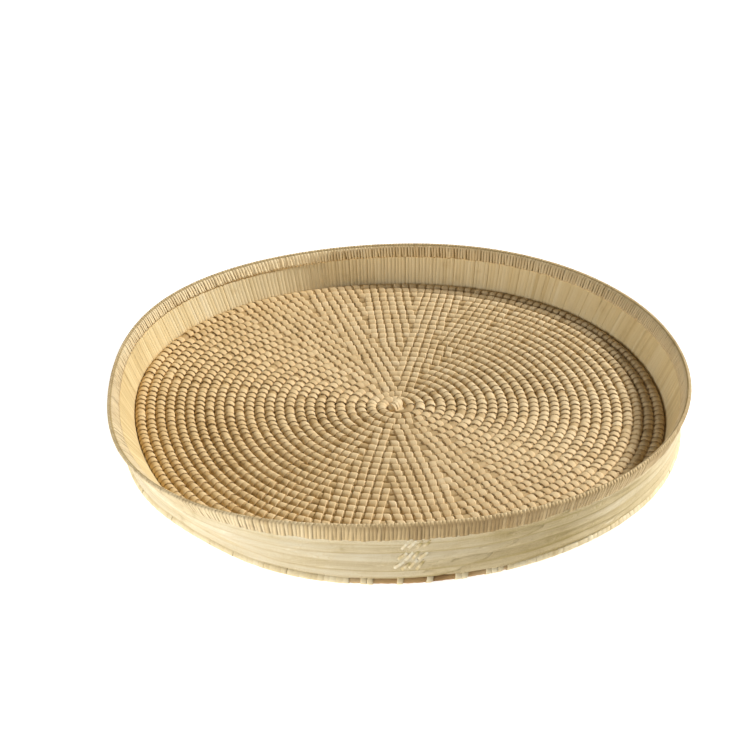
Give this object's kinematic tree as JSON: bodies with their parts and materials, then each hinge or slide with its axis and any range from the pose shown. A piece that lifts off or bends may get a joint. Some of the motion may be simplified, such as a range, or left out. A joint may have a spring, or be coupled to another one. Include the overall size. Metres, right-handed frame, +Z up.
{
  "type": "winnowing basket",
  "caption": "Shallow round coiled-grass winnowing basket with a flaring splint wall, bound rim and lashed foot coil.",
  "frame": {"origin": "on the ground under the middle of the tray, in the plane of the wall hoop's lower edge", "axes": "+Z up along the basket's axis; -Y towards the side shown nearest; the wall strips' butted ends lie near -Y"},
  "size_m": [0.5374, 0.5374, 0.054],
  "materials": {
    "coil_grass": "matte",
    "stitch_palm": "matte",
    "hoop_wood": "matte",
    "stave_splint": "satin",
    "strip_splint": "satin",
    "rim_wood": "matte",
    "binding_palm": "matte",
    "foot_grass": "matte",
    "lashing_palm": "matte"
  },
  "bodies": {
    "root": {"start_knot": "coil_grass", "knot_wrapping": "stitch_palm", "base_coil": "coil_grass", "stitch_row_01": "stitch_palm", "stitch_row_02": "stitch_palm", "stitch_row_03": "stitch_palm", "stitch_row_04": "stitch_palm", "stitch_row_05": "stitch_palm", "stitch_row_06": "stitch_palm", "stitch_row_07": "stitch_palm", "stitch_row_08": "stitch_palm", "stitch_row_09": "stitch_palm", "stitch_row_10": "stitch_palm", "stitch_row_11": "stitch_palm", "stitch_row_12": "stitch_palm", "stitch_row_13": "stitch_palm", "stitch_row_14": "stitch_palm", "stitch_row_15": "stitch_palm", "stitch_row_16": "stitch_palm", "stitch_row_17": "stitch_palm", "stitch_row_18": "stitch_palm", "stitch_row_19": "stitch_palm", "stitch_row_20": "stitch_palm", "stitch_row_21": "stitch_palm", "stitch_row_22": "stitch_palm", "stitch_row_23": "stitch_palm", "stitch_row_24": "stitch_palm", "edge_stitches": "stitch_palm", "wall_hoop": "hoop_wood", "inner_staves": "stave_splint", "outer_strip_1": "strip_splint", "outer_strip_2": "strip_splint", "outer_strip_3": "strip_splint", "outer_strip_4": "strip_splint", "outer_strip_5": "strip_splint", "inner_rim_strip": "rim_wood", "outer_rim_strip": "rim_wood", "rim_core": "rim_wood", "rim_binding": "binding_palm", "foot_coil": "foot_grass", "foot_lashing": "lashing_palm"}
  },
  "joints": []
}
